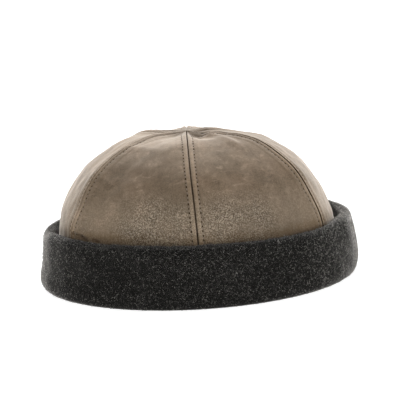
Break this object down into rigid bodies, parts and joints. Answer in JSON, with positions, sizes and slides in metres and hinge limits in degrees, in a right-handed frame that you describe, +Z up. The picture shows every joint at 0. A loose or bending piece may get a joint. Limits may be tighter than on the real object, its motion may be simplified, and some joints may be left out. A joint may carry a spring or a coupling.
{
  "type": "docker beanie",
  "caption": "Brimless docker beanie: a close rounded crown of sewn nubuck leather panels in a deep turned-up band of thick charcoal wool.",
  "frame": {"origin": "middle of the face that the hat rests on, under the centre of its plan", "axes": "-X is the wearer's front, -Y the wearer's left side, +Z up out of the crown"},
  "size_m": [0.2402, 0.206, 0.11],
  "materials": {
    "leather": "matte grey-brown nubuck, softly mottled",
    "wool": "charcoal melange wool felt, short nap"
  },
  "bodies": {
    "root": {"band": "wool", "panel_left_front": "leather", "panel_left_back": "leather", "panel_back": "leather", "panel_front": "leather", "panel_right_back": "leather", "panel_right_front": "leather"}
  },
  "joints": []
}
